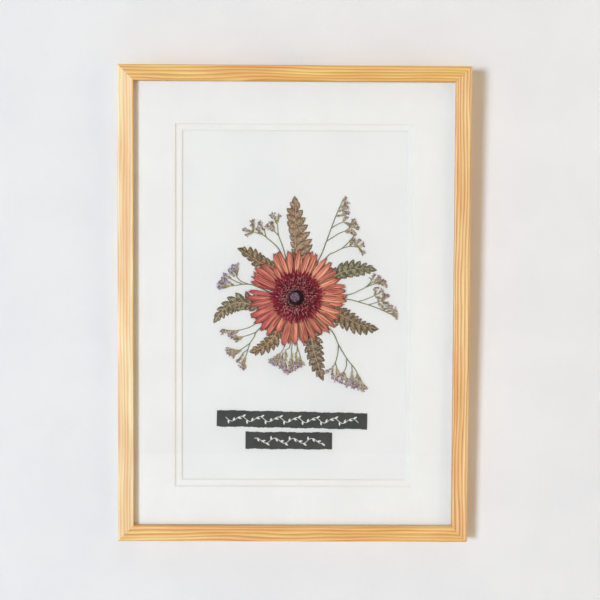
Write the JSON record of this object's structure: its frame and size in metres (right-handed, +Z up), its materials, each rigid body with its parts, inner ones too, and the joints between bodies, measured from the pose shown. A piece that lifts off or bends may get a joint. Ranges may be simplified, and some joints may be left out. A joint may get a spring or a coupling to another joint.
{
  "type": "pressed flower frame",
  "caption": "Wall-hung pine picture frame with a double mat and glass over a pressed gerbera, fern leaves and statice sprigs on white paper.",
  "frame": {"origin": "where the wall nail bears in the sawtooth hanger, in the plane of the rails' backs", "axes": "+Z up along the frame's height, +X to the right as seen from the front, -Y out of the front and +Y into the wall"},
  "size_m": [0.357, 0.0245, 0.484],
  "materials": {
    "pine": "clear pine, lightly lacquered, with fine straight grain",
    "clear_glass": "clear float glass",
    "mat_board": "matt off-white board with a cream core in the bevels",
    "white_paper": "smooth matt white paper",
    "hardboard": "brown pressed board",
    "bright_steel": "plain bright steel",
    "brassed_steel": "brass-plated steel",
    "coral_petal": "dried coral petals, darker red at edges and tips",
    "maroon_floret": "dried maroon florets",
    "dark_disc": "dried dark disc with a grey-mauve middle",
    "dried_fern": "dried olive to brown leaf with a paler rib",
    "dried_statice": "dried olive stems with lavender florets",
    "black_paper": "matt black paper"
  },
  "bodies": {
    "root": {"backing_board": "hardboard", "backing_paper": "white_paper", "black_strip_lower": "black_paper", "black_strip_upper": "black_paper", "fern_leaf_bottom": "dried_fern", "fern_leaf_left": "dried_fern", "fern_leaf_lower_left": "dried_fern", "fern_leaf_lower_right": "dried_fern", "fern_leaf_right": "dried_fern", "fern_leaf_top": "dried_fern", "fern_leaf_upper_left": "dried_fern", "frame_rail_bottom": "pine", "frame_rail_left": "pine", "frame_rail_right": "pine", "frame_rail_top": "pine", "gerbera_disc": "dark_disc", "gerbera_inner_florets": "maroon_floret", "gerbera_ray_petals": "coral_petal", "glass_pane": "clear_glass", "hanger_nail_left": "bright_steel", "hanger_nail_right": "bright_steel", "lower_mat": "mat_board", "retaining_point_bottom_1": "bright_steel", "retaining_point_bottom_2": "bright_steel", "retaining_point_left_1": "bright_steel", "retaining_point_left_2": "bright_steel", "retaining_point_left_3": "bright_steel", "retaining_point_right_1": "bright_steel", "retaining_point_right_2": "bright_steel", "retaining_point_right_3": "bright_steel", "retaining_point_top_1": "bright_steel", "retaining_point_top_2": "bright_steel", "sawtooth_hanger": "brassed_steel", "statice_sprig_bottom": "dried_statice", "statice_sprig_bottom_right": "dried_statice", "statice_sprig_left": "dried_statice", "statice_sprig_lower_left_lower": "dried_statice", "statice_sprig_lower_left_upper": "dried_statice", "statice_sprig_right_lower": "dried_statice", "statice_sprig_right_upper": "dried_statice", "statice_sprig_top_right_short": "dried_statice", "statice_sprig_top_right_tall": "dried_statice", "statice_sprig_upper_left_inner": "dried_statice", "statice_sprig_upper_left_outer": "dried_statice", "upper_mat": "mat_board"}
  },
  "joints": []
}
